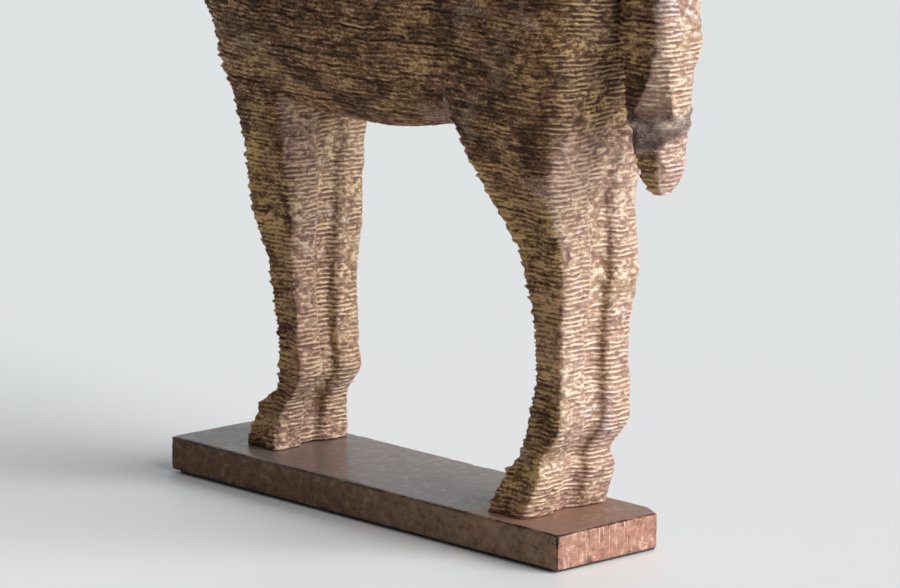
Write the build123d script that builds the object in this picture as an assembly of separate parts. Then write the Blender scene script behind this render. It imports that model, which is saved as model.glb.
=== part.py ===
from build123d import *
from math import cos, sin, radians
import os

os.makedirs("parts", exist_ok=True)

# ---------------------------------------------------------------- driving dimensions (mm)
# Frame: origin on the table under the plinth's centre, +X to the tail, -X to the head,
# -Y the horse's left side, +Z up.
PLINTH_LENGTH = 304.0
PLINTH_WIDTH = 77.0
PLINTH_TOP = 20.3
FELT_THICKNESS = 1.5
FELT_INSET = 2.5
FELT_CORNER_RADIUS = 4.0
CORNER_CLIP_X, CORNER_CLIP_Y = 12.0, 6.0

LEG_JOINT_Z = 190.0
SQUARE_BELOW_Z, ROUND_ABOVE_Z = 135.0, 215.0
FORE_CENTRE_Y = 6.0
HIND_CENTRE_Y = 1.0
BODY_CENTRE_Y = 3.0
SHELL = 6.0
ROUNDED_FULLNESS = 2.6

STUD_RADIUS = 3.0
STUD_CLEARANCE_RADIUS = 3.3
STUD_END_Z = 2.6
STUD_DEPTH_IN_HOOF = 16.0
POCKET_RADIUS = 9.0
POCKET_ROOF_Z = 10.0
WASHER_RADIUS, WASHER_THICKNESS = 6.25, 1.6
NUT_ACROSS_FLATS, NUT_HEIGHT = 10.0, 5.0
STUD_SPREAD_Y = 14.0
FORE_STUD_X, HIND_STUD_X = -97.0, 106.0

DOWEL_RADIUS = 4.0
DOWEL_HALF_LENGTH = 17.0
FORE_DOWEL_X, HIND_DOWEL_X = -90.0, 113.0
DOWEL_SPREAD_Y = 16.0

# Leg pairs, from the plinth up: height, foremost x, rearmost x, half width of the pair,
# depth of the groove between the two legs.
FORELEG_SECTIONS = [
    (PLINTH_TOP, -110.5, -84.5, 26.9, 4.5),
    (30.0, -108.0, -84.5, 25.9, 5.5),
    (45.0, -101.0, -80.5, 23.4, 6.0),
    (53.0, -91.5, -74.5, 21.9, 5.5),
    (64.0, -88.0, -68.5, 22.4, 6.0),
    (76.0, -88.5, -70.0, 21.9, 6.0),
    (100.0, -91.5, -71.5, 22.4, 6.0),
    (127.0, -95.0, -72.0, 23.9, 5.0),
    (150.0, -105.5, -69.5, 26.4, 5.0),
    (172.0, -109.5, -69.5, 28.4, 4.5),
    (LEG_JOINT_Z, -111.5, -68.5, 30.9, 4.0),
    (212.0, -118.0, -66.5, 34.9, 2.5),
    (240.0, -128.5, -60.5, 39.4, 1.0),
    (270.0, -136.5, -52.5, 38.4, 0.5),
    (300.0, -121.5, -62.5, 27.4, 0.5),
]
HIND_LEG_SECTIONS = [
    (PLINTH_TOP, 89.0, 118.0, 30.4, 4.5),
    (30.0, 94.5, 122.5, 29.4, 5.5),
    (42.0, 100.5, 127.0, 27.4, 6.0),
    (52.0, 107.0, 126.0, 24.9, 6.0),
    (64.0, 113.0, 136.5, 25.4, 6.0),
    (74.0, 115.5, 140.0, 25.4, 6.0),
    (95.0, 118.5, 139.5, 24.4, 6.5),
    (120.0, 117.5, 140.5, 24.9, 6.5),
    (142.0, 113.5, 143.5, 26.4, 6.5),
    (160.0, 106.0, 144.0, 27.9, 6.0),
    (176.0, 92.5, 142.0, 30.4, 5.5),
    (LEG_JOINT_Z, 80.5, 142.5, 33.4, 5.0),
    (208.0, 66.5, 146.5, 37.4, 4.0),
    (238.0, 52.5, 153.5, 41.4, 2.0),
    (270.0, 50.5, 155.5, 39.4, 1.0),
    (300.0, 66.5, 137.5, 27.4, 1.0),
]

# Barrel, from the chest to the rump: x, lowest z, highest z, half width.
BARREL_SECTIONS = [
    (-146.0, 272.0, 302.0, 15.0),
    (-138.0, 252.0, 322.0, 30.0),
    (-118.0, 227.0, 342.0, 40.0),
    (-85.0, 213.0, 355.0, 45.5),
    (-45.0, 206.5, 356.0, 48.5),
    (-5.0, 206.0, 353.0, 48.5),
    (30.0, 210.0, 350.0, 48.0),
    (60.0, 219.5, 351.0, 47.0),
    (95.0, 224.0, 357.0, 46.0),
    (130.0, 230.0, 354.0, 42.0),
    (152.0, 246.0, 338.0, 32.0),
    (164.0, 270.0, 316.0, 16.0),
]

# Neck, from inside the shoulders to the poll: centre x, centre z, angle of the neck's run
# above the horizontal, fore-and-aft depth, width. The joint with the torso is a flat face
# at the second section.
NECK_SECTIONS = [
    (-90.0, 302.0, 52.0, 106.0, 80.0),
    (-112.0, 330.0, 52.0, 98.0, 68.0),
    (-130.0, 364.0, 58.0, 76.0, 54.0),
    (-141.0, 399.0, 66.0, 62.0, 44.0),
    (-152.0, 430.0, 78.0, 50.0, 38.0),
    (-158.0, 452.0, 98.0, 34.0, 28.0),
]
# Roached mane along the crest, from the withers to the forehead: the same values.
MANE_SECTIONS = [
    (-84.0, 362.0, 46.0, 8.0, 7.0),
    (-98.0, 386.0, 58.0, 20.0, 9.0),
    (-111.0, 412.0, 62.0, 24.0, 9.5),
    (-126.0, 436.0, 54.0, 24.0, 9.5),
    (-142.0, 453.0, 40.0, 22.0, 9.0),
    (-157.0, 464.0, 16.0, 18.0, 8.0),
    (-170.0, 462.0, -30.0, 10.0, 6.0),
]
# Head, from the poll to the lips: centre x, centre z, depth across the run, width.
HEAD_DROP_ANGLE = 56.0
HEAD_SECTIONS = [
    (-157.0, 463.0, 20.0, 22.0),
    (-166.0, 451.0, 44.0, 35.0),
    (-178.0, 433.0, 57.0, 41.0),
    (-191.0, 413.0, 44.0, 34.0),
    (-204.0, 393.0, 33.0, 27.0),
    (-215.0, 376.0, 32.0, 30.0),
    (-221.0, 367.0, 19.0, 21.0),
]
EAR_ROOT = (-160.0, 11.0, 462.0)
EAR_TIP = (-166.0, 15.0, 494.0)
EAR_ROOT_RADIUS, EAR_TIP_RADIUS = 7.5, 1.6
EYE_PLACE = (-177.0, 16.5, 439.0)
EYE_RADIUS = 5.0

EAR_FLATNESS = 0.8
NECK_FLOOR = 12.0
NECK_CORE_SPANS = 3
NECK_DOWEL_HALF_LENGTH = 11.0
NECK_DOWEL_OFFSET = 26.0

# Tail, from the tenon in the croup to the tip: centre x, centre z, angle of the run below
# the horizontal, depth, width.
TAIL_CENTRE_Y = 0.6
TAIL_SECTIONS = [
    (138.0, 326.0, 0.0, 16.0, 16.0),
    (154.0, 328.0, 4.0, 25.0, 25.0),
    (169.0, 325.0, 26.0, 33.0, 29.5),
    (180.0, 311.0, 70.0, 35.5, 30.5),
    (182.5, 290.0, 88.0, 35.0, 30.5),
    (183.0, 266.0, 90.0, 35.0, 32.0),
    (182.0, 254.0, 90.0, 31.0, 28.5),
    (182.0, 236.0, 90.0, 28.0, 26.0),
    (183.0, 225.0, 90.0, 23.0, 22.0),
    (184.0, 208.0, 90.0, 20.0, 20.0),
    (184.5, 199.0, 90.0, 15.0, 15.0),
    (185.0, 193.0, 90.0, 6.5, 6.5),
]
TAIL_FULLNESS = 4.0
TAIL_ROOT_SPANS = 4
TAIL_PIN_RADIUS = 2.5
TAIL_PIN_X, TAIL_PIN_LOW, TAIL_PIN_HIGH = 143.0, 306.0, 340.0


# ---------------------------------------------------------------- section outlines
EASING_STEPS = 3


def eased(sections):
    """The same sections with others between them, every value on a smooth curve."""
    ends = [sections[0]] + sections + [sections[-1]]
    result = []
    for before, start, end, after in zip(ends, ends[1:], ends[2:], ends[3:]):
        for step in range(EASING_STEPS):
            t = step / EASING_STEPS
            values = []
            for b, s, e, a in zip(before, start, end, after):
                pull_in, pull_out = (e - b) / 2, (a - s) / 2
                values.append(
                    (2 * t**3 - 3 * t**2 + 1) * s + (t**3 - 2 * t**2 + t) * pull_in
                    + (3 * t**2 - 2 * t**3) * e + (t**3 - t**2) * pull_out
                )
            result.append(tuple(values))
    return result + [sections[-1]]


def closed_curve(points):
    return Face(Wire([Edge.make_spline([Vector(*point) for point in points], periodic=True)]))


def oval(plane, depth, width, fullness=ROUNDED_FULLNESS, points_round=20):
    """A closed, softly squared oval on a plane: depth along its x, width along its y.
    A fullness of 2 is an ellipse, and more is squarer."""
    points = []
    for step in range(points_round):
        turn = radians(360.0 * step / points_round)
        c, s = cos(turn), sin(turn)
        x = abs(c) ** (2 / fullness) * (1 if c >= 0 else -1)
        y = abs(s) ** (2 / fullness) * (1 if s >= 0 else -1)
        points.append(tuple(plane.from_local_coords((x * depth / 2, y * width / 2, 0))))
    return closed_curve(points)


def leg_pair_outline(height, front, rear, half_width, groove, centre_y):
    """Two legs side by side, joined by a web that lies back from their faces. Their corners
    are square low down and rounded where they run into the shoulders and haunches."""
    depth = rear - front
    rounding = min(max((height - SQUARE_BELOW_Z) / (ROUND_ABOVE_Z - SQUARE_BELOW_Z), 0), 1)
    quarter = [
        (0.0, groove),
        (0.20, 0.92 * groove),
        (0.34, 0.08 * groove),
        (0.52 - 0.04 * rounding, 0.0),
        (0.88 - 0.18 * rounding, (0.01 + 0.02 * rounding) * depth),
        (0.985 - 0.055 * rounding, (0.06 + 0.10 * rounding) * depth),
        (1.0, (0.22 + 0.18 * rounding) * depth),
    ]
    near_front = [(front + inset, -share * half_width) for share, inset in quarter]
    far_front = [(x, -y) for x, y in near_front]
    near_rear = [(front + rear - x, y) for x, y in near_front]
    far_rear = [(x, -y) for x, y in near_rear]
    outline = near_front[::-1] + far_front[1:] + far_rear[::-1] + near_rear[1:]
    return closed_curve([(x, centre_y + y, height) for x, y in outline])


# ---------------------------------------------------------------- forms of the castings
def ruled(faces):
    return loft(faces, ruled=True)


def leg_pair(sections, centre_y, low, high):
    """The stretch of a leg pair between two heights, both of which are section heights."""
    stretch = [section for section in eased(sections) if low <= section[0] <= high]
    return ruled([leg_pair_outline(*section, centre_y) for section in stretch])


def barrel(sections, shrink=0.0):
    """The trunk; shrink makes it smaller all round, for the core of the hollow casting."""
    faces = []
    for x, low, high, half_width in eased(sections):
        plane = Plane((x, BODY_CENTRE_Y, (low + high) / 2), x_dir=(0, 0, 1), z_dir=(1, 0, 0))
        faces.append(oval(plane, high - low - 2 * shrink, 2 * (half_width - shrink)))
    return ruled(faces)


def bent_run(sections, centre_y, rise, fullness=ROUNDED_FULLNESS, shrink=0.0):
    """A form whose sections stand square to a run that bends in the plane of symmetry.
    rise is 1 where the angles are measured upwards and the run goes to the head, and -1
    where they are measured downwards and it goes to the tail."""
    faces = []
    for x, z, angle, depth, width in sections:
        run = (-rise * cos(radians(angle)), 0, rise * sin(radians(angle)))
        across = (sin(radians(angle)), 0, cos(radians(angle)))
        plane = Plane((x, centre_y, z), x_dir=across, z_dir=run)
        faces.append(oval(plane, depth - 2 * shrink, width - 2 * shrink, fullness))
    return ruled(faces)


def head():
    angle = radians(HEAD_DROP_ANGLE)
    run, across = (-cos(angle), 0, -sin(angle)), (sin(angle), 0, -cos(angle))
    faces = []
    for x, z, depth, width in eased(HEAD_SECTIONS):
        faces.append(oval(Plane((x, BODY_CENTRE_Y, z), x_dir=across, z_dir=run), depth, width))
    return ruled(faces)


def ear(side):
    root = Vector(EAR_ROOT[0], BODY_CENTRE_Y + side * EAR_ROOT[1], EAR_ROOT[2])
    tip = Vector(EAR_TIP[0], BODY_CENTRE_Y + side * EAR_TIP[1], EAR_TIP[2])
    run = (tip - root).normalized()
    stations = [
        (root, EAR_ROOT_RADIUS),
        (root + (tip - root) * 0.45, EAR_ROOT_RADIUS * 0.8),
        (tip, EAR_TIP_RADIUS),
    ]
    return ruled(
        [
            oval(Plane(place, z_dir=run), 2 * r, 2 * EAR_FLATNESS * r, fullness=2.0, points_round=12)
            for place, r in stations
        ]
    )


def eye(side):
    x, y, z = EYE_PLACE
    return Pos(x, BODY_CENTRE_Y + side * y, z) * Sphere(EYE_RADIUS)


def rod(x, y, low, high, radius):
    return Pos(x, y, (low + high) / 2) * Cylinder(radius, high - low)


def neck_joint_plane(along=0.0):
    """The neck joint's flat face, or a plane parallel to it further along the neck."""
    x, z, angle = NECK_SECTIONS[1][:3]
    run = Vector(-cos(radians(angle)), 0, sin(radians(angle)))
    across = (sin(radians(angle)), 0, cos(radians(angle)))
    return Plane(Vector(x, BODY_CENTRE_Y, z) + run * along, x_dir=across, z_dir=run)


def half_space(plane, side=1, size=900.0):
    """A large block on one side of a plane: 1 is where its normal points, -1 is behind it."""
    return plane * (Pos(0, 0, side * size / 2) * Box(size, size, size))


# ---------------------------------------------------------------- where the fasteners go
stud_places = [
    (x, centre_y + side * STUD_SPREAD_Y)
    for x, centre_y in ((FORE_STUD_X, FORE_CENTRE_Y), (HIND_STUD_X, HIND_CENTRE_Y))
    for side in (-1, 1)
]
fore_dowel_places = [(FORE_DOWEL_X, FORE_CENTRE_Y + side * DOWEL_SPREAD_Y) for side in (-1, 1)]
hind_dowel_places = [(HIND_DOWEL_X, HIND_CENTRE_Y + side * DOWEL_SPREAD_Y) for side in (-1, 1)]


def dowels(places):
    low, high = LEG_JOINT_Z - DOWEL_HALF_LENGTH, LEG_JOINT_Z + DOWEL_HALF_LENGTH
    return [rod(x, y, low, high, DOWEL_RADIUS) for x, y in places]


def neck_dowels():
    return [
        neck_joint_plane()
        * (Pos(side * NECK_DOWEL_OFFSET, 0, 0) * Cylinder(DOWEL_RADIUS, 2 * NECK_DOWEL_HALF_LENGTH))
        for side in (-1, 1)
    ]


def tail_pin():
    return rod(TAIL_PIN_X, TAIL_CENTRE_Y, TAIL_PIN_LOW, TAIL_PIN_HIGH, TAIL_PIN_RADIUS)


def studs():
    top = PLINTH_TOP + STUD_DEPTH_IN_HOOF
    return [rod(x, y, STUD_END_Z, top, STUD_RADIUS) for x, y in stud_places]


# ---------------------------------------------------------------- pieces
def plinth():
    """Cast slab with the stud holes and the counterbored pockets for their nuts."""
    half_length, half_width = PLINTH_LENGTH / 2, PLINTH_WIDTH / 2
    outline = Polyline(
        (-half_length, -half_width),
        (half_length, -half_width),
        (half_length, half_width - CORNER_CLIP_Y),
        (half_length - CORNER_CLIP_X, half_width),
        (-half_length, half_width),
        close=True,
    )
    slab = extrude(make_face(outline), PLINTH_TOP - FELT_THICKNESS)
    slab = Pos(0, 0, FELT_THICKNESS) * slab
    for x, y in stud_places:
        slab -= rod(x, y, FELT_THICKNESS, PLINTH_TOP, STUD_CLEARANCE_RADIUS)
        slab -= rod(x, y, FELT_THICKNESS, POCKET_ROOF_Z, POCKET_RADIUS)
    return slab


def base_felt():
    length, width = PLINTH_LENGTH - 2 * FELT_INSET, PLINTH_WIDTH - 2 * FELT_INSET
    sheet = extrude(RectangleRounded(length, width, FELT_CORNER_RADIUS), FELT_THICKNESS)
    for x, y in stud_places:
        sheet -= rod(x, y, 0, FELT_THICKNESS, POCKET_RADIUS)
    return sheet


def washers():
    low = POCKET_ROOF_Z - WASHER_THICKNESS
    hole = STUD_CLEARANCE_RADIUS
    return [
        rod(x, y, low, POCKET_ROOF_Z, WASHER_RADIUS) - rod(x, y, low, POCKET_ROOF_Z, hole)
        for x, y in stud_places
    ]


def nuts():
    high = POCKET_ROOF_Z - WASHER_THICKNESS
    low = high - NUT_HEIGHT
    blank = extrude(RegularPolygon(NUT_ACROSS_FLATS / 2, 6, major_radius=False), NUT_HEIGHT)
    return [
        Pos(x, y, low) * blank - rod(x, y, low, high, STUD_RADIUS) for x, y in stud_places
    ]


def without(form, tools):
    for tool in tools:
        form = form - tool
    return form


def forelegs():
    form = leg_pair(FORELEG_SECTIONS, FORE_CENTRE_Y, PLINTH_TOP, LEG_JOINT_Z)
    return without(form, studs()[:2] + dowels(fore_dowel_places))


def hind_legs():
    form = leg_pair(HIND_LEG_SECTIONS, HIND_CENTRE_Y, PLINTH_TOP, LEG_JOINT_Z)
    return without(form, studs()[2:] + dowels(hind_dowel_places))


def tail():
    form = bent_run(eased(TAIL_SECTIONS), TAIL_CENTRE_Y, -1, TAIL_FULLNESS)
    return form - tail_pin()


def torso():
    """Trunk, shoulders and haunches in one hollow casting, with a flat seat for the neck."""
    shoulders = leg_pair(FORELEG_SECTIONS, FORE_CENTRE_Y, LEG_JOINT_Z, FORELEG_SECTIONS[-1][0])
    haunches = leg_pair(HIND_LEG_SECTIONS, HIND_CENTRE_Y, LEG_JOINT_Z, HIND_LEG_SECTIONS[-1][0])
    neck_root = bent_run(NECK_SECTIONS[:2], BODY_CENTRE_Y, 1)
    form = barrel(BARREL_SECTIONS) + shoulders + haunches + neck_root
    form -= half_space(neck_joint_plane())
    solid_ends = slice(2, -2)
    core = barrel(BARREL_SECTIONS[solid_ends], SHELL) - half_space(neck_joint_plane(-NECK_FLOOR))
    holes = dowels(fore_dowel_places) + dowels(hind_dowel_places) + neck_dowels() + [tail_pin()]
    root_sections = eased(TAIL_SECTIONS)[: TAIL_ROOT_SPANS * EASING_STEPS + 1]
    tail_root = bent_run(root_sections, TAIL_CENTRE_Y, -1, TAIL_FULLNESS)
    return without(form, [core, tail_root] + holes)


def neck_and_head():
    """Hollow neck with a closed foot, carrying a solid head with its ears and eyes."""
    above_joint = eased(NECK_SECTIONS)[EASING_STEPS:]
    form = bent_run(above_joint, BODY_CENTRE_Y, 1) + head()
    form = form + bent_run(eased(MANE_SECTIONS), BODY_CENTRE_Y, 1)
    for side in (-1, 1):
        form = form + ear(side) + eye(side)
    core_sections = above_joint[: NECK_CORE_SPANS * EASING_STEPS]
    core = bent_run(core_sections, BODY_CENTRE_Y, 1, shrink=SHELL)
    core -= half_space(neck_joint_plane(NECK_FLOOR), -1)
    return without(form, [core] + neck_dowels())


pieces = {
    "plinth": plinth(),
    "base_felt": base_felt(),
    "torso": torso(),
    "neck_and_head": neck_and_head(),
    "forelegs": forelegs(),
    "hind_legs": hind_legs(),
    "tail": tail(),
    "foreleg_dowels": Compound(children=dowels(fore_dowel_places)),
    "hind_leg_dowels": Compound(children=dowels(hind_dowel_places)),
    "neck_dowels": Compound(children=neck_dowels()),
    "tail_pin": tail_pin(),
    "hoof_studs": Compound(children=studs()),
    "stud_washers": Compound(children=washers()),
    "stud_nuts": Compound(children=nuts()),
}

for name, piece in pieces.items():
    export_step(piece, f"parts/{name}.step")
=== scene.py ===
import itertools
from math import cos, pi, radians, sin

import bmesh
import bpy
import numpy as np
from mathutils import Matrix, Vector


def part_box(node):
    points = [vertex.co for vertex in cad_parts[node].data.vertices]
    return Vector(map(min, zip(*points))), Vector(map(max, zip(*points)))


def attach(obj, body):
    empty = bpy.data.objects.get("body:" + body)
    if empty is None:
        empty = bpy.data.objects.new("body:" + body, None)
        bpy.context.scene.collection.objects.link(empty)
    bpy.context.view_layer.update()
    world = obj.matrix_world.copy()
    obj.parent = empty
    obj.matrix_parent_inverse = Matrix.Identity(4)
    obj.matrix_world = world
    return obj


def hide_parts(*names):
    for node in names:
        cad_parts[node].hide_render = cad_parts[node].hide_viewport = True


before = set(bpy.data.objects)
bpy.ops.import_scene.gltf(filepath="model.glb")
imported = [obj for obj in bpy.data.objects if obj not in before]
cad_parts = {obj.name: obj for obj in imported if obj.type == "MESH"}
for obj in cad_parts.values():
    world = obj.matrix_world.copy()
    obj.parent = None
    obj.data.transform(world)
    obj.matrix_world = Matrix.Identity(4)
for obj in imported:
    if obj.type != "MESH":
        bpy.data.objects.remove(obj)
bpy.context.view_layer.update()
MM = 0.001


# ======================================================================= trunk, neck and legs
# The horse is cast in bronze in sections, which the founder pins together. The rough ribs are
# worked across the joints before the patina goes on, so the trunk, the neck and head and the
# two leg pairs are worked as one ribbed skin, which is then parted at the joints.
BODY_CASTINGS = ["torso", "neck_and_head", "forelegs", "hind_legs"]
PINS_IN_BODY = ["foreleg_dowels", "hind_leg_dowels", "neck_dowels", "hoof_studs"]
SKIN_CELL = 1.2 * MM
SKIN_STRETCH = 2.1
LAYER_PITCH = 2.5
TRIANGLES_AT_MOST = 195_000
NECK_JOINT_PLACE = (-0.112, 0, 0.330)
NECK_JOINT_RISE = radians(52)

# Where the ribbing changes, in millimetres like all the lumps and layers below.
LEG_TOP_LOW, LEG_TOP_HIGH = 180, 225
CORONET_Z = 43
# The rump, where the tail's shadow is painted as less pale wax.
RUMP_LOW, RUMP_HIGH = 196, 232
RUMP_X, RUMP_REACH, RUMP_FADE = 120, 46, 6


def mesh_object(form, name):
    """An object at the origin that holds a bmesh, which is freed."""
    mesh = bpy.data.meshes.new(name)
    form.to_mesh(mesh)
    form.free()
    piece = bpy.data.objects.new(name, mesh)
    bpy.context.scene.collection.objects.link(piece)
    return piece


def finished_mesh(piece):
    """A bmesh of the piece with its modifiers worked in; the piece itself is removed."""
    form = bmesh.new()
    form.from_object(piece, bpy.context.evaluated_depsgraph_get())
    mesh = piece.data
    bpy.data.objects.remove(piece)
    bpy.data.meshes.remove(mesh)
    return form


def cast_in_one(nodes, cell, stretch=1.0, evenings=5):
    """The CAD nodes fused into one skin of even cells, which are shorter upwards, with the
    steps between the cells smoothed out. Only the outer skin is kept."""
    form = bmesh.new()
    for node in nodes:
        form.from_mesh(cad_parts[node].data)
    bmesh.ops.remove_doubles(form, verts=form.verts, dist=0.001 * MM)
    bmesh.ops.scale(form, verts=form.verts, vec=(1, 1, stretch))
    blank = mesh_object(form, "blank")
    remesh = blank.modifiers.new("remesh", "REMESH")
    remesh.mode = "VOXEL"
    remesh.voxel_size = cell
    form = finished_mesh(blank)
    keep_outer_skin(form)
    for _ in range(evenings):
        bmesh.ops.smooth_vert(
            form, verts=form.verts, factor=0.5, use_axis_x=True, use_axis_y=True, use_axis_z=True
        )
    bmesh.ops.scale(form, verts=form.verts, vec=(1, 1, 1 / stretch))
    form.normal_update()
    return form


def keep_outer_skin(form):
    """Drops what isn't joined to the highest point: the walls of the hollows inside."""
    reached = {max(form.verts, key=lambda vert: vert.co.z)}
    front = list(reached)
    while front:
        vert = front.pop()
        for edge in vert.link_edges:
            other = edge.other_vert(vert)
            if other not in reached:
                reached.add(other)
                front.append(other)
    lost = [vert for vert in form.verts if vert not in reached]
    bmesh.ops.delete(form, geom=lost, context="VERTS")


def lumps(points, size, seed):
    """A smooth random field from -1 to 1 whose lumps are about this size. Each seed gives a
    field of its own."""
    scaled = points / size
    corner = np.floor(scaled).astype(np.int64)
    share = scaled - corner
    share = share * share * (3 - 2 * share)
    field = np.zeros(len(points))
    for step in itertools.product((0, 1), repeat=3):
        x, y, z = (corner + step).T
        mixed = (x * 73856093) ^ (y * 19349663) ^ (z * 83492791) ^ (seed * 2654435761)
        mixed = (mixed ^ (mixed >> 13)) * 1274126177 & 0x7FFFFFFF
        mixed = (mixed ^ (mixed >> 16)) & 0xFFFF
        weight = np.prod(np.where(step, share, 1 - share), axis=1)
        field += weight * (mixed / 32767.5 - 1)
    return field


def ramp(values, low, high):
    """0 up to low and 1 from high on, with a soft step between."""
    share = np.clip((values - low) / (high - low), 0, 1)
    return share * share * (3 - 2 * share)


def dip(values, width):
    """1 where the values are 0, falling away to both sides."""
    return np.exp(-((values / width) ** 2))


def waves(place, to_ends):
    """How far the layers wander up and down, which is less where they face front or rear."""
    wave = 1.4 * lumps(place * (1, 1, 0.5), 45, 1) + 0.8 * lumps(place * (1, 1, 0.5), 15, 2)
    ripple = 0.6 * lumps(place * (1, 1, 0.7), 6.5, 3) + 0.4 * lumps(place, 3.2, 4)
    return wave + ripple * (1 - 0.65 * to_ends)


def on_own_layer(place, phase, apart):
    """The places with the number of their layer for a height, so far apart that the lumps of
    one layer aren't those of the next."""
    return np.column_stack([place[:, :2], np.round(phase) * apart])


def ribbing(place, normals):
    """The rough layers at places given in millimetres: how far they stand out of a smooth
    casting, and the shares of three things there: of a crest, from 0 in a gap between the
    layers to 1, of pale wax with painted light on the faces to front and rear, and of greyish wear."""
    to_ends = ramp(np.abs(normals[:, 0]), 0.4, 0.7)
    to_front = ramp(-normals[:, 0], 0.2, 0.6)
    upright = ramp(np.hypot(normals[:, 0], normals[:, 1]), 0.2, 0.6)
    on_leg = ramp(-place[:, 2], -LEG_TOP_HIGH, -LEG_TOP_LOW)
    wave = waves(place, to_ends)

    # Thin beads that run level, broken into short runs, crumbled and pitted.
    phase = (place[:, 2] + wave) / LAYER_PITCH
    on_layer = on_own_layer(place, phase, 41.7)
    beat = phase + 0.2 * to_ends * lumps(on_layer, 5, 16)
    bead = 0.5 + 0.5 * np.cos(2 * pi * beat) + 0.3 * lumps(on_layer, 4, 5)
    runs = np.clip(0.75 + 1.2 * lumps(on_layer, 5, 6), 0, 1.2)
    crumbs = 0.55 * lumps(place * (0.75, 0.75, 1.2), 2.3, 7) + 0.6 * lumps(place, 1.45, 8)
    torn = ramp(lumps(place * (1, 1, 0.6), 8, 15), -0.1, 0.4)
    pits = ramp(lumps(place * (1, 1, 1.3), 2.6, 17), 0.45, 0.75)
    on_ends = 0.55 + runs * (1 - 0.8 * torn) * (bead - 0.5) + (0.36 + 0.35 * torn) * crumbs - 0.55 * pits

    # The sides are less regular, with a deep crack above every second or third layer.
    crack_phase = (place[:, 2] + 1.5 * wave) / (2.3 * LAYER_PITCH)
    cracks = dip(crack_phase - np.round(crack_phase), 0.075)
    cracks *= ramp(lumps(on_own_layer(place, crack_phase, 57.3), 15, 9), -0.1, 0.45)
    shelves = crack_phase + 0.5 - np.round(crack_phase)
    on_sides = 0.43 + 0.21 * on_leg + 0.25 * lumps(place * (0.6, 0.6, 1.5), 3, 10) + 0.3 * crumbs
    on_sides += 0.45 * runs * (bead - 0.5) - (0.6 - 0.25 * on_leg) * cracks
    on_sides += 0.25 * lumps(place * (0.6, 0.6, 1), 11, 11)

    height = on_sides + (on_ends - on_sides) * to_ends
    height += (1 - upright) * (0.5 + 0.5 * crumbs - height)
    patches = lumps(place * (1, 1, 0.8), 22, 12) + 0.35 * lumps(place, 5, 19)
    worn = ramp(patches, 0.4, 0.85) * (1 - 0.6 * to_ends)
    height += 0.6 * worn * (0.62 - height)

    # Pale wax on the faces to front and rear is painted paler and pinker still, as painted light
    # and a painted reflection of the window, and the sides darker, as painted shade; less on the
    # rump, where the tail's shadow is painted, and on the forehand, which is painted in shade.
    from_rump_shadow = np.abs(place[:, 0] - RUMP_X) - RUMP_REACH
    rump_in_painted_shadow = ramp(place[:, 2], RUMP_LOW, RUMP_HIGH) * ramp(-from_rump_shadow, -RUMP_FADE, 0)
    wax_and_painted_light = to_ends * (1 - 0.8 * rump_in_painted_shadow) * (1 - 0.35 * ramp(-place[:, 0], 20, 60))
    shares = {"crest": np.clip(height, 0, 1), "wax_and_painted_light": wax_and_painted_light, "worn": 0.35 * worn}

    # The layers stand out in uneven shelves, most at the chest, and round the coronets.
    relief = 1.0 - 0.08 * to_ends + 0.15 * to_front
    shift = (0.35 + 0.35 * to_front) * lumps(on_layer, 14, 13) + 1.5 * to_front * (shelves - 0.5)
    shift += 0.6 * lumps(place * (0.6, 0.6, 1.3), 9, 14) + 0.6 * lumps(place * (0.5, 0.5, 1), 16, 18)
    shift += 1.2 * to_front * on_leg * dip(place[:, 2] - CORONET_Z, 2.2)
    return relief * (height - 0.42) + shift, shares


# The face, whose marks are placed down its run from the poll and across it towards the jaw.
POLL = (-157, 463)
FACE_DROP = radians(56)
FACE_HALF_DEPTH = 28
EYE, EYE_RADIUS, SOCKET_RADIUS = (31, -3), 5, 8
NOSTRIL, NOSTRIL_RADIUS, NOSTRIL_RIM = (103, -6), 3.2, 5.5
CHEEK, CHEEK_RADIUS = (44, 7), 22
MOUTH_CORNER, MOUTH_SLOPE = (95, 5), -0.12


def body_ribbing(place, normals):
    """The ribbing with the horse's face drawn into it: a lid round each eye, nostrils, the
    line of the mouth and the edge of the cheek."""
    height, shares = ribbing(place, normals)
    forwards, down = POLL[0] - place[:, 0], POLL[1] - place[:, 2]
    down_face = forwards * cos(FACE_DROP) + down * sin(FACE_DROP)
    to_jaw = down * cos(FACE_DROP) - forwards * sin(FACE_DROP)
    on_side = ramp(np.abs(normals[:, 1]), 0.15, 0.45)
    on_side *= ramp(-np.abs(to_jaw), -FACE_HALF_DEPTH - 6, -FACE_HALF_DEPTH)
    from_eye = np.hypot(down_face - EYE[0], to_jaw - EYE[1])
    from_nostril = np.hypot(down_face - NOSTRIL[0], (to_jaw - NOSTRIL[1]) * 1.4)
    from_cheek = np.hypot(down_face - CHEEK[0], to_jaw - CHEEK[1])
    marks = 0.9 * dip(from_eye - EYE_RADIUS, 2.5) - 1.5 * dip(from_eye - SOCKET_RADIUS, 1.6)
    marks += 1.0 * dip(from_nostril - NOSTRIL_RIM, 1.6) - 2.6 * dip(from_nostril, NOSTRIL_RADIUS)
    marks -= 1.3 * dip(from_cheek - CHEEK_RADIUS, 2.2) * ramp(down_face, 40, 56)
    past_corner = down_face - MOUTH_CORNER[0]
    mouth = dip(to_jaw - MOUTH_CORNER[1] - MOUTH_SLOPE * past_corner, 1.3) * ramp(past_corner, -3, 3)
    marks = (marks - 1.6 * mouth) * on_side
    shares["crest"] = np.clip(shares["crest"] + 0.45 * marks, 0, 1)
    return height + marks, shares


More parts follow.
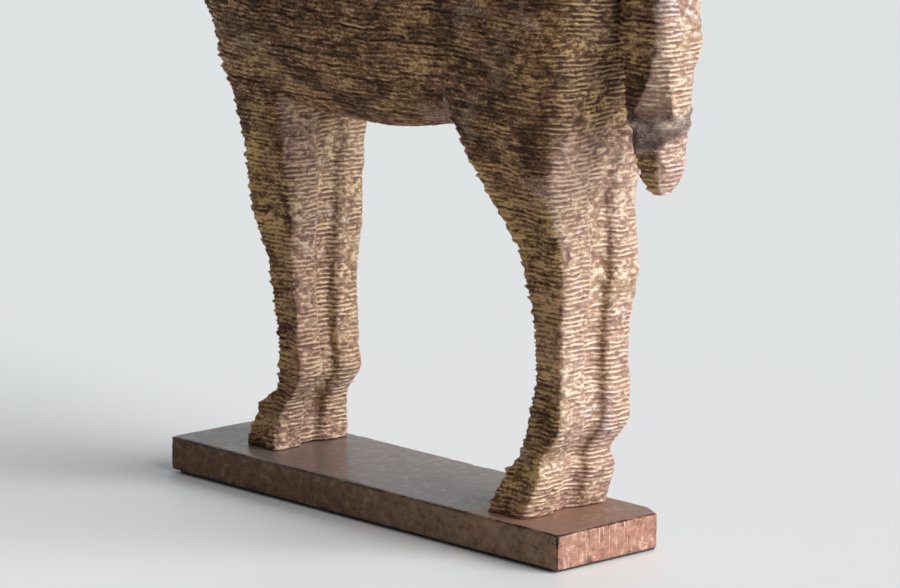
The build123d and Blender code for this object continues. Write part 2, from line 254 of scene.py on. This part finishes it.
def work_surface(form, carving, lean=0.5):
    """Moves every point of a form out along its normal, leaned to the level by this much,
    by the height that the carving gives, and keeps its shares as attributes of the points."""
    places = np.array([vert.co for vert in form.verts])
    normals = np.array([vert.normal for vert in form.verts])
    height, shares = carving(places / MM, normals)
    outwards = normals * (1, 1, lean)
    outwards /= np.linalg.norm(outwards, axis=1)[:, None] + 1e-9
    moved = places + outwards * height[:, None] * MM
    for vert, place in zip(form.verts, moved.tolist()):
        vert.co = place
    for name, share in shares.items():
        layer = form.verts.layers.float.new(name)
        for vert, value in zip(form.verts, share.tolist()):
            vert[layer] = value
    form.normal_update()


def parted(form, cuts):
    """A copy of the form kept on the far side of every cut, a point and a direction, with each
    cut face closed."""
    part = form.copy()
    for point, direction in cuts:
        bmesh.ops.bisect_plane(
            part,
            geom=part.verts[:] + part.edges[:] + part.faces[:],
            plane_co=point,
            plane_no=direction,
            clear_inner=True,
        )
        rim = [edge for edge in part.edges if edge.is_boundary]
        bmesh.ops.triangle_fill(part, use_beauty=True, edges=rim)
    return part


def new_material(name):
    """A material, its node tree and its shader."""
    material = bpy.data.materials.new(name)
    material.use_nodes = True
    return material, material.node_tree, material.node_tree.nodes["Principled BSDF"]


def group_socket(group, name, kind, goes="INPUT", value=None):
    socket = group.interface.new_socket(name, in_out=goes, socket_type=f"NodeSocket{kind}")
    if value is not None:
        socket.default_value = value


def add(tree, kind, inputs=(), **settings):
    """A node with its settings, whose inputs are given values or linked to other sockets."""
    node = tree.nodes.new(f"ShaderNode{kind}")
    for name, value in settings.items():
        setattr(node, name, value)
    for key, value in dict(inputs).items():
        if isinstance(value, bpy.types.NodeSocket):
            tree.links.new(value, node.inputs[key])
        else:
            node.inputs[key].default_value = value
    return node


def noise_field(tree, place, scale, detail, roughness=0.6):
    inputs = {"Vector": place, "Scale": scale, "Detail": detail, "Roughness": roughness}
    return add(tree, "TexNoise", inputs).outputs["Fac"]


def sum_of(tree, *terms):
    """The sum of sockets, each with the factor that it counts by."""
    total = 0.0
    for socket, factor in terms:
        scaled = {0: socket, 1: factor, 2: total}
        total = add(tree, "Math", scaled, operation="MULTIPLY_ADD").outputs[0]
    return total


def between(tree, value, low, high, to_low=0.0, to_high=1.0):
    """A value run through a soft step from low to high."""
    inputs = {"Value": value, "From Min": low, "From Max": high, "To Min": to_low, "To Max": to_high}
    return add(tree, "MapRange", inputs, interpolation_type="SMOOTHSTEP").outputs["Result"]


def blended(tree, share, first, second):
    """A colour between two others, each a socket or a red, green and blue."""
    inputs = {0: share, 6: first, 7: second}
    for key in (6, 7):
        if isinstance(inputs[key], tuple):
            inputs[key] = (*inputs[key], 1)
    return add(tree, "Mix", inputs, data_type="RGBA").outputs[2]


def share_of(tree, name):
    return add(tree, "Attribute", attribute_name=name).outputs["Fac"]


# Patina: a dark wash left in the hollows and pale wax rubbed over what stands out, torn by the
# grain of the casting. Tear is how ragged the line between the two is.
patina = bpy.data.node_groups.new("rubbed patina", "ShaderNodeTree")
group_socket(patina, "Crest", "Float", value=0.5)
group_socket(patina, "Tear", "Float", value=1.0)
PATINA_LAYERS = ("Wash", "Body", "Wax", "Pale wax")
for layer in PATINA_LAYERS:
    group_socket(patina, layer, "Color")
group_socket(patina, "Colour", "Color", "OUTPUT")
group_socket(patina, "Roughness", "Float", "OUTPUT")
group_socket(patina, "Height", "Float", "OUTPUT")
given = patina.nodes.new("NodeGroupInput").outputs
place = add(patina, "TexCoord").outputs["Object"]
flattened = add(patina, "Mapping", {"Vector": place, "Scale": (0.5, 0.5, 1.25)}).outputs[0]
grain = noise_field(patina, flattened, 900, 4, 0.7)
grit = noise_field(patina, place, 1100, 4, 0.7)
tears = add(patina, "Math", {0: sum_of(patina, (grain, 1.5), (grit, 1.3)), 1: -1.4}).outputs[0]
tears = add(patina, "Math", {0: tears, 1: given["Tear"]}, operation="MULTIPLY").outputs[0]
stands_out = sum_of(patina, (given["Crest"], 1.0), (tears, 1.0))
hollow = between(patina, stands_out, 0.12, 0.45)
wax_and_painted_light = between(patina, stands_out, 0.52, 0.86)
pale = between(patina, noise_field(patina, place, 70, 3), 0.40, 0.62)
wax = blended(patina, pale, given["Wax"], given["Pale wax"])
colour = blended(patina, wax_and_painted_light, given["Body"], wax)
colour = blended(patina, hollow, given["Wash"], colour)
put_out = patina.nodes.new("NodeGroupOutput").inputs
patina.links.new(colour, put_out["Colour"])
patina.links.new(between(patina, stands_out, 0.1, 0.9, 0.85, 0.55), put_out["Roughness"])
patina.links.new(stands_out, put_out["Height"])


def patina_material(name, layers, crest, tear, strength, depth):
    """Bronze under the rubbed patina, whose layers are given as four colours, and whose relief
    is this deep."""
    material, tree, shader = new_material(name)
    finish = add(tree, "Group", node_tree=patina)
    tree.links.new(crest(tree), finish.inputs["Crest"])
    finish.inputs["Tear"].default_value = tear
    for layer, colour in zip(PATINA_LAYERS, layers(tree)):
        tree.links.new(colour, finish.inputs[layer])
    bump = {"Height": finish.outputs["Height"], "Strength": strength, "Distance": depth}
    tree.links.new(finish.outputs["Colour"], shader.inputs["Base Color"])
    tree.links.new(finish.outputs["Roughness"], shader.inputs["Roughness"])
    tree.links.new(add(tree, "Bump", bump).outputs["Normal"], shader.inputs["Normal"])
    shader.inputs["Metallic"].default_value = 0.45
    return material


def casting_layers(tree):
    """Gold on the sides, darker there as painted shade, and paler and pinker on the faces to
    front and rear, as wax with painted light and a painted window reflection; greyish where it
    is worn smooth."""
    wax_and_painted_light, worn = share_of(tree, "wax_and_painted_light"), share_of(tree, "worn")
    place = add(tree, "TexCoord").outputs["Object"]
    drift = between(tree, noise_field(tree, place, 28, 3), 0.4, 0.6)
    lilac = between(tree, noise_field(tree, place, 48, 3), 0.52, 0.62)
    # Side and end copies of each layer: the end ones paler as painted light, the side ones darker as
    # painted shade.
    side_body = blended(tree, drift, (0.165, 0.084, 0.032), (0.20, 0.095, 0.045))
    end_body = blended(tree, drift, (0.45, 0.30, 0.19), (0.46, 0.29, 0.22))
    side_wax = blended(tree, drift, (0.60, 0.38, 0.15), (0.55, 0.33, 0.155))
    end_pale = blended(tree, lilac, (0.76, 0.61, 0.49), (0.68, 0.585, 0.60))
    fresh = (
        blended(tree, wax_and_painted_light, (0.046, 0.021, 0.009), (0.33, 0.20, 0.17)),
        blended(tree, wax_and_painted_light, side_body, end_body),
        blended(tree, wax_and_painted_light, side_wax, (0.74, 0.58, 0.42)),
        blended(tree, wax_and_painted_light, (0.44, 0.27, 0.12), end_pale),
    )
    greyed = ((0.10, 0.064, 0.05), (0.23, 0.17, 0.14), (0.39, 0.31, 0.255), (0.56, 0.48, 0.435))
    return [blended(tree, worn, colour, grey) for colour, grey in zip(fresh, greyed)]


ribbed_bronze = patina_material(
    "ribbed bronze", casting_layers, lambda tree: share_of(tree, "crest"), 1.0, 0.6, 0.5 * MM
)


def ribbed_casting(form, node):
    """The finished casting that stands for a CAD node, from its part of the ribbed skin."""
    piece = mesh_object(form, f"{node}_blank")
    triangles = sum(len(polygon.vertices) - 2 for polygon in piece.data.polygons)
    if triangles > TRIANGLES_AT_MOST:
        thin = piece.modifiers.new("thin", "DECIMATE")
        thin.ratio = TRIANGLES_AT_MOST / triangles
    piece = mesh_object(finished_mesh(piece), f"{node}_ribbed")
    piece.data.shade_smooth()
    piece.data.materials.append(ribbed_bronze)
    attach(piece, "root")
    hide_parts(node)


body_skin = cast_in_one(BODY_CASTINGS + PINS_IN_BODY, SKIN_CELL, SKIN_STRETCH)
work_surface(body_skin, body_ribbing)

plinth_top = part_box("plinth")[1].z
leg_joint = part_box("forelegs")[1].z
up_neck = Vector((-cos(NECK_JOINT_RISE), 0, sin(NECK_JOINT_RISE)))
below_joint, above_plinth = ((0, 0, leg_joint), (0, 0, -1)), ((0, 0, plinth_top), (0, 0, 1))
cuts_of_castings = {
    "neck_and_head": [(NECK_JOINT_PLACE, up_neck)],
    "forelegs": [below_joint, above_plinth, ((0, 0, 0), (-1, 0, 0))],
    "hind_legs": [below_joint, above_plinth, ((0, 0, 0), (1, 0, 0))],
    "torso": [((0, 0, leg_joint), (0, 0, 1)), (NECK_JOINT_PLACE, -up_neck)],
}
for node, cuts in cuts_of_castings.items():
    ribbed_casting(parted(body_skin, cuts), node)
body_skin.free()


# ======================================================================= tail
# The tail is a casting of its own, whose root sits in a socket in the croup and is held by a
# pin. It hangs square at first, is bound halfway down by a knotted band, and ends in a tuft.
TAIL_PLACE = (182.5, 0.6)
FACET_TOP, FACET_TURN_AT_TOP, FACET_REACH_AT_TOP = 264, 45, 18.4
KNOT_TOP, FACET_TURN_AT_KNOT, FACET_REACH_AT_KNOT = 234, 66, 8.9
OUTSIDE_TAIL = 30
KNOB_PLACE = (197, 4, 229)
ACROSS_KNOT = (0.68, 0.73)


def plane_corner(form):
    """Planes the near corner of the tail off to a facet that widens downwards to the knot and
    turns to the side. Its reach is how far it lies from the middle of the tail."""
    levels = [KNOT_TOP - 20, KNOT_TOP, FACET_TOP, FACET_TOP + 1]
    reaches = [OUTSIDE_TAIL, FACET_REACH_AT_KNOT, FACET_REACH_AT_TOP, OUTSIDE_TAIL]
    for vert in form.verts:
        x, y, z = vert.co / MM
        turn = radians(np.interp(z, [KNOT_TOP, FACET_TOP], [FACET_TURN_AT_KNOT, FACET_TURN_AT_TOP]))
        reach = np.interp(z, levels, reaches)
        to_corner = (x - TAIL_PLACE[0]) * cos(turn) - (y - TAIL_PLACE[1]) * sin(turn)
        if to_corner > reach:
            vert.co -= Vector((cos(turn), -sin(turn), 0)) * ((to_corner - reach) * MM)
    form.normal_update()


def tail_ribbing(place, normals):
    """The ribbing of the tail, which gives way to smooth greyish lumps at the knot. The knot
    rises across the tail to the far rear corner, its lower edge more steeply than its upper
    one, and has a knob at the rear."""
    height, shares = ribbing(place, normals)
    across = (place[:, :2] - TAIL_PLACE) @ ACROSS_KNOT
    below, above = place[:, 2] - 0.48 * across, place[:, 2] - 0.13 * across
    knot = ramp(below, KNOT_TOP - 18, KNOT_TOP - 14) * ramp(-above, -KNOT_TOP - 2, -KNOT_TOP + 2)
    knobs = lumps(place * (1, 1, 1.3), 5.5, 31) + 0.3 * lumps(place, 2.2, 32)
    height += knot * (1.4 * knobs + 1.1 - height)
    height += 1.6 * dip(np.linalg.norm(place - KNOB_PLACE, axis=1), 5)
    shares["crest"] += knot * (0.5 + 0.5 * knobs - shares["crest"])
    # Faces turned to the window are painted paler, as painted light.
    shares["wax_and_painted_light"] = ramp(normals[:, 0], 0.15, 0.5)
    shares["worn"] = np.maximum(shares["worn"], 0.85 * knot)
    return height, shares


tail_skin = cast_in_one(["tail"], SKIN_CELL, SKIN_STRETCH, evenings=3)
plane_corner(tail_skin)
work_surface(tail_skin, tail_ribbing)
ribbed_casting(tail_skin, "tail")


# ======================================================================= plinth
# A flat slab cast in bronze, with its faces filed and its edges left a little uneven. The dark
# wash stays along the edges, and the ends are rubbed back to a coppery ground with scratches,
# made paler by painted light from the window.
PLINTH_CELL = 1.15 * MM
plinth_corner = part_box("plinth")[1]
HIND_HOOF_FRONT, HIND_HOOF_REAR = 0.06, 0.115


def slab_carving(place, normals):
    """Uneven filed faces, which stay flat underneath, and chipped edges. The rim is 1 along
    the edges, the crest is 1 on top, and the share of wax and painted light is 1 on the ends."""
    from_end = plinth_corner.x / MM - np.abs(place[:, 0])
    from_side = plinth_corner.y / MM - np.abs(place[:, 1])
    below_top = plinth_corner.z / MM - place[:, 2]
    from_top_edge = np.hypot(below_top, np.minimum(from_end, from_side)) - 0.21 * lumps(place, 13, 41)
    rim = np.maximum(dip(from_top_edge, 1.3), dip(np.hypot(from_end, from_side), 1.6))
    level = ramp(np.abs(normals[:, 2]), 0.4, 0.8)
    under = ramp(-normals[:, 2], 0.3, 0.6)
    faces = 0.5 * lumps(place, 40, 42) + 0.25 * lumps(place, 11, 43)
    grains = 0.16 * lumps(place, 2.4, 44) + 0.1 * lumps(place, 1.3, 45)
    height = (faces + grains) * (1 - 0.75 * level) - 0.2
    height -= (0.9 * ramp(lumps(place, 6, 46), 0.15, 0.7) + 0.35 * lumps(place, 16, 47)) * rim
    shares = {
        "crest": level * (1 - under),
        # The ends, rubbed back and painted paler as lit by the window.
        "wax_and_painted_light": ramp(np.abs(normals[:, 0]), 0.5, 0.8),
        "rim": rim * (0.75 + 0.4 * lumps(place, 9, 48)),
    }
    return height * (1 - under), shares


def slab_layers(tree):
    """Mauve brown on top, mottled gold on the long sides, darker towards the fore end as painted
    shade, and copper on the ends, paler as painted light.
    """
    top, end, rim = (share_of(tree, name) for name in ("crest", "wax_and_painted_light", "rim"))
    place = add(tree, "TexCoord").outputs["Object"]
    along = add(tree, "SeparateXYZ", {"Vector": place}).outputs["X"]
    behind = between(tree, along, HIND_HOOF_FRONT, HIND_HOOF_REAR)
    ragged_rim = sum_of(tree, (rim, 1.0), (noise_field(tree, place, 420, 3), 0.9))
    # The long sides are painted darker towards the fore end, as painted shade.
    side_body = blended(tree, between(tree, along, -0.07, 0.11), (0.155, 0.086, 0.047), (0.25, 0.15, 0.09))
    top_body = blended(tree, behind, (0.19, 0.135, 0.115), (0.30, 0.17, 0.12))
    top_wax = blended(tree, behind, (0.28, 0.21, 0.185), (0.46, 0.29, 0.21))
    # The end colours are paler than the side ones: a coppery ground with painted light from the window.
    layers = (
        ((0.11, 0.062, 0.038), (0.18, 0.095, 0.07), top_body),
        (side_body, (0.38, 0.19, 0.135), top_body),
        ((0.27, 0.17, 0.09), (0.54, 0.32, 0.235), top_wax),
        ((0.31, 0.20, 0.12), (0.66, 0.49, 0.37), top_wax),
    )
    colours = [
        blended(tree, top, blended(tree, end, on_side, on_end), on_top)
        for on_side, on_end, on_top in layers
    ]
    edge = between(tree, ragged_rim, 0.75, 1.05)
    return [blended(tree, edge, colour, (0.035, 0.019, 0.018)) for colour in colours]


def slab_crest(tree):
    """Mottled grain, crossed on the ends by scratches that run in several directions."""
    place = add(tree, "TexCoord").outputs["Object"]
    crest = sum_of(tree, (noise_field(tree, place, 210, 5), 1.6), (noise_field(tree, place, 60, 3), 0.6))
    crest = add(tree, "Math", {0: crest, 1: -0.62}).outputs[0]
    for turn in ((0.3, 0.5, 0.2), (1.1, 0.2, 0.9), (0.2, 1.3, 0.5)):
        drawn_out = {"Vector": place, "Rotation": turn, "Scale": (1, 1, 0.07)}
        lines = noise_field(tree, add(tree, "Mapping", drawn_out).outputs[0], 750, 2)
        scratches = {0: between(tree, lines, 0.64, 0.72), 1: share_of(tree, "wax_and_painted_light")}
        on_ends = add(tree, "Math", scratches, operation="MULTIPLY").outputs[0]
        crest = sum_of(tree, (crest, 1.0), (on_ends, 0.8))
    return crest


plinth_bronze = patina_material("plinth bronze", slab_layers, slab_crest, 0.5, 0.25, 0.25 * MM)

# A coat of clear wax makes the top glossy, less so behind the hind hooves.
tree = plinth_bronze.node_tree
shader = tree.nodes["Principled BSDF"]
along = add(tree, "SeparateXYZ", {"Vector": add(tree, "TexCoord").outputs["Object"]}).outputs["X"]
glossy_top = between(tree, share_of(tree, "crest"), 0, 1, 0.05, 0.75)
duller_behind = between(tree, along, HIND_HOOF_FRONT, HIND_HOOF_REAR, 1, 0.35)
coat = add(tree, "Math", {0: glossy_top, 1: duller_behind}, operation="MULTIPLY").outputs[0]
tree.links.new(coat, shader.inputs["Coat Weight"])
shader.inputs["Coat Roughness"].default_value = 0.28

slab_form = cast_in_one(["plinth"], PLINTH_CELL, evenings=2)
work_surface(slab_form, slab_carving, lean=1)
slab = mesh_object(slab_form, "plinth_cast")
slab.data.shade_smooth()
slab.data.materials.append(plinth_bronze)
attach(slab, "root")
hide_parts("plinth")


# ======================================================================= felt underside
# A sheet of wool felt glued under the plinth, cut a little short of its edges, with a round
# hole punched for each pocket that a nut sits in.
FELT_CELL = 1.0 * MM
FELT_STRETCH = 2.5
FIBRE_GRAIN = 2600


def felt_fuzz(place, normals):
    """Soft cut edges with a little fuzz; the faces stay flat."""
    on_edge = 1 - ramp(np.abs(normals[:, 2]), 0.3, 0.7)
    return on_edge * 0.12 * lumps(place, 1.6, 51), {}


felt_form = cast_in_one(["base_felt"], FELT_CELL, FELT_STRETCH, evenings=1)
work_surface(felt_form, felt_fuzz, lean=0)
felt_sheet = mesh_object(felt_form, "base_felt_sheet")

wool, tree, shader = new_material("wool felt")
place = add(tree, "TexCoord").outputs["Object"]
along = add(tree, "Mapping", {"Vector": place, "Scale": (1, 0.25, 1)}).outputs[0]
fibres = noise_field(tree, along, FIBRE_GRAIN, 4)
across = add(tree, "Mapping", {"Vector": place, "Scale": (0.25, 1, 1)}).outputs[0]
crossed = noise_field(tree, across, FIBRE_GRAIN, 4)
matted = sum_of(tree, (fibres, 0.5), (crossed, 0.5))
# Near-black: partly the felt's own colour and partly painted shade for the gap under the plinth.
shades = blended(tree, between(tree, matted, 0.38, 0.62), (0.011, 0.013, 0.012), (0.042, 0.047, 0.043))
tree.links.new(shades, shader.inputs["Base Color"])
nap = {"Height": matted, "Strength": 0.6, "Distance": 0.2 * MM}
tree.links.new(add(tree, "Bump", nap).outputs["Normal"], shader.inputs["Normal"])
shader.inputs["Roughness"].default_value = 0.95
shader.inputs["Sheen Weight"].default_value = 0.4
felt_sheet.data.materials.append(wool)
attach(felt_sheet, "root")
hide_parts("base_felt")


# ======================================================================= dowels, studs and nuts
# The castings stand on bronze dowels, the tail on a pin and the hooves on threaded studs, which
# steel washers and nuts draw down inside the plinth's pockets.
def metal(name, dull, bright, metallic, roughness):
    """Drawn or turned metal, streaked round its axis, with tarnish in patches."""
    material, tree, shader = new_material(name)
    place = add(tree, "TexCoord").outputs["Object"]
    turned = add(tree, "Mapping", {"Vector": place, "Scale": (0.15, 0.15, 1)}).outputs[0]
    streaks = noise_field(tree, turned, 4000, 2)
    tarnish = noise_field(tree, place, 300, 4)
    share = sum_of(tree, (streaks, 0.4), (tarnish, 0.6))
    tree.links.new(
        blended(tree, between(tree, share, 0.35, 0.65), dull, bright), shader.inputs["Base Color"]
    )
    spread = between(tree, share, 0.35, 0.65, roughness + 0.15, roughness - 0.08)
    tree.links.new(spread, shader.inputs["Roughness"])
    bump = {"Height": streaks, "Strength": 0.2, "Distance": 0.05 * MM}
    tree.links.new(add(tree, "Bump", bump).outputs["Normal"], shader.inputs["Normal"])
    shader.inputs["Metallic"].default_value = metallic
    return material


rod_bronze = metal("bronze rod", (0.35, 0.19, 0.09), (0.62, 0.40, 0.20), 1.0, 0.35)
zinc_steel = metal("zinc plated steel", (0.40, 0.40, 0.38), (0.66, 0.66, 0.64), 1.0, 0.3)
FINISHES = {
    rod_bronze: ["foreleg_dowels", "hind_leg_dowels", "neck_dowels", "tail_pin", "hoof_studs"],
    zinc_steel: ["stud_washers", "stud_nuts"],
}
for finish, nodes in FINISHES.items():
    for node in nodes:
        for material_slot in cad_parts[node].material_slots:
            material_slot.material = finish


# ======================================================================= stage, light, camera
floor_form = bmesh.new()
bmesh.ops.create_grid(floor_form, x_segments=2, y_segments=2, size=40.0)
floor = mesh_object(floor_form, "floor")
floor_paint, tree, shader = new_material("floor paint")
shader.inputs["Base Color"].default_value = (0.79, 0.80, 0.80, 1)
floor.data.materials.append(floor_paint)

CAMERA_TURN, CAMERA_RISE = radians(47.22), radians(11.19)
CAMERA_DISTANCE, CAMERA_LENS = 2.434, 187.2
CAMERA_TARGET = Vector((0.0313, 0, 0.1207))
NEAR_GLOW, FAR_GLOW = 0.17, 0.7

# The studio: pale light all round, brighter from behind the statuette, and one soft window
# behind and to its right.
world = bpy.data.worlds.new("studio")
bpy.context.scene.world = world
world.use_nodes = True
tree = world.node_tree
background = tree.nodes["Background"]
looked_at = add(tree, "TexCoord").outputs["Generated"]
far_wall = (-sin(CAMERA_TURN), cos(CAMERA_TURN), 0)
to_wall = {0: looked_at, 1: far_wall}
facing_wall = add(tree, "VectorMath", to_wall, operation="DOT_PRODUCT").outputs["Value"]
glow = between(tree, facing_wall, 0.1, 0.9, NEAR_GLOW, FAR_GLOW)
tree.links.new(glow, background.inputs["Strength"])
background.inputs["Color"].default_value = (0.92, 0.96, 1.0, 1)
bpy.context.scene.view_settings.view_transform = "Standard"


def sunlight(name, towards, strength, spread):
    """Even light from one direction, as soft as a window that is this many degrees wide."""
    lamp = bpy.data.lights.new(name, "SUN")
    lamp.energy = strength
    lamp.angle = radians(spread)
    holder = bpy.data.objects.new(name, lamp)
    holder.rotation_euler = Vector(towards).to_track_quat("Z", "Y").to_euler()
    bpy.context.scene.collection.objects.link(holder)


sunlight("window", (0.82, 0.27, 0.50), 4.5, 52)

towards_eye = Vector(
    (sin(CAMERA_TURN) * cos(CAMERA_RISE), -cos(CAMERA_TURN) * cos(CAMERA_RISE), sin(CAMERA_RISE))
)
camera = bpy.data.objects.new("camera", bpy.data.cameras.new("camera"))
camera.data.sensor_width = 36.0
camera.data.lens = CAMERA_LENS
camera.location = CAMERA_TARGET + towards_eye * CAMERA_DISTANCE
camera.rotation_euler = towards_eye.to_track_quat("Z", "Y").to_euler()
bpy.context.scene.collection.objects.link(camera)
bpy.context.scene.camera = camera
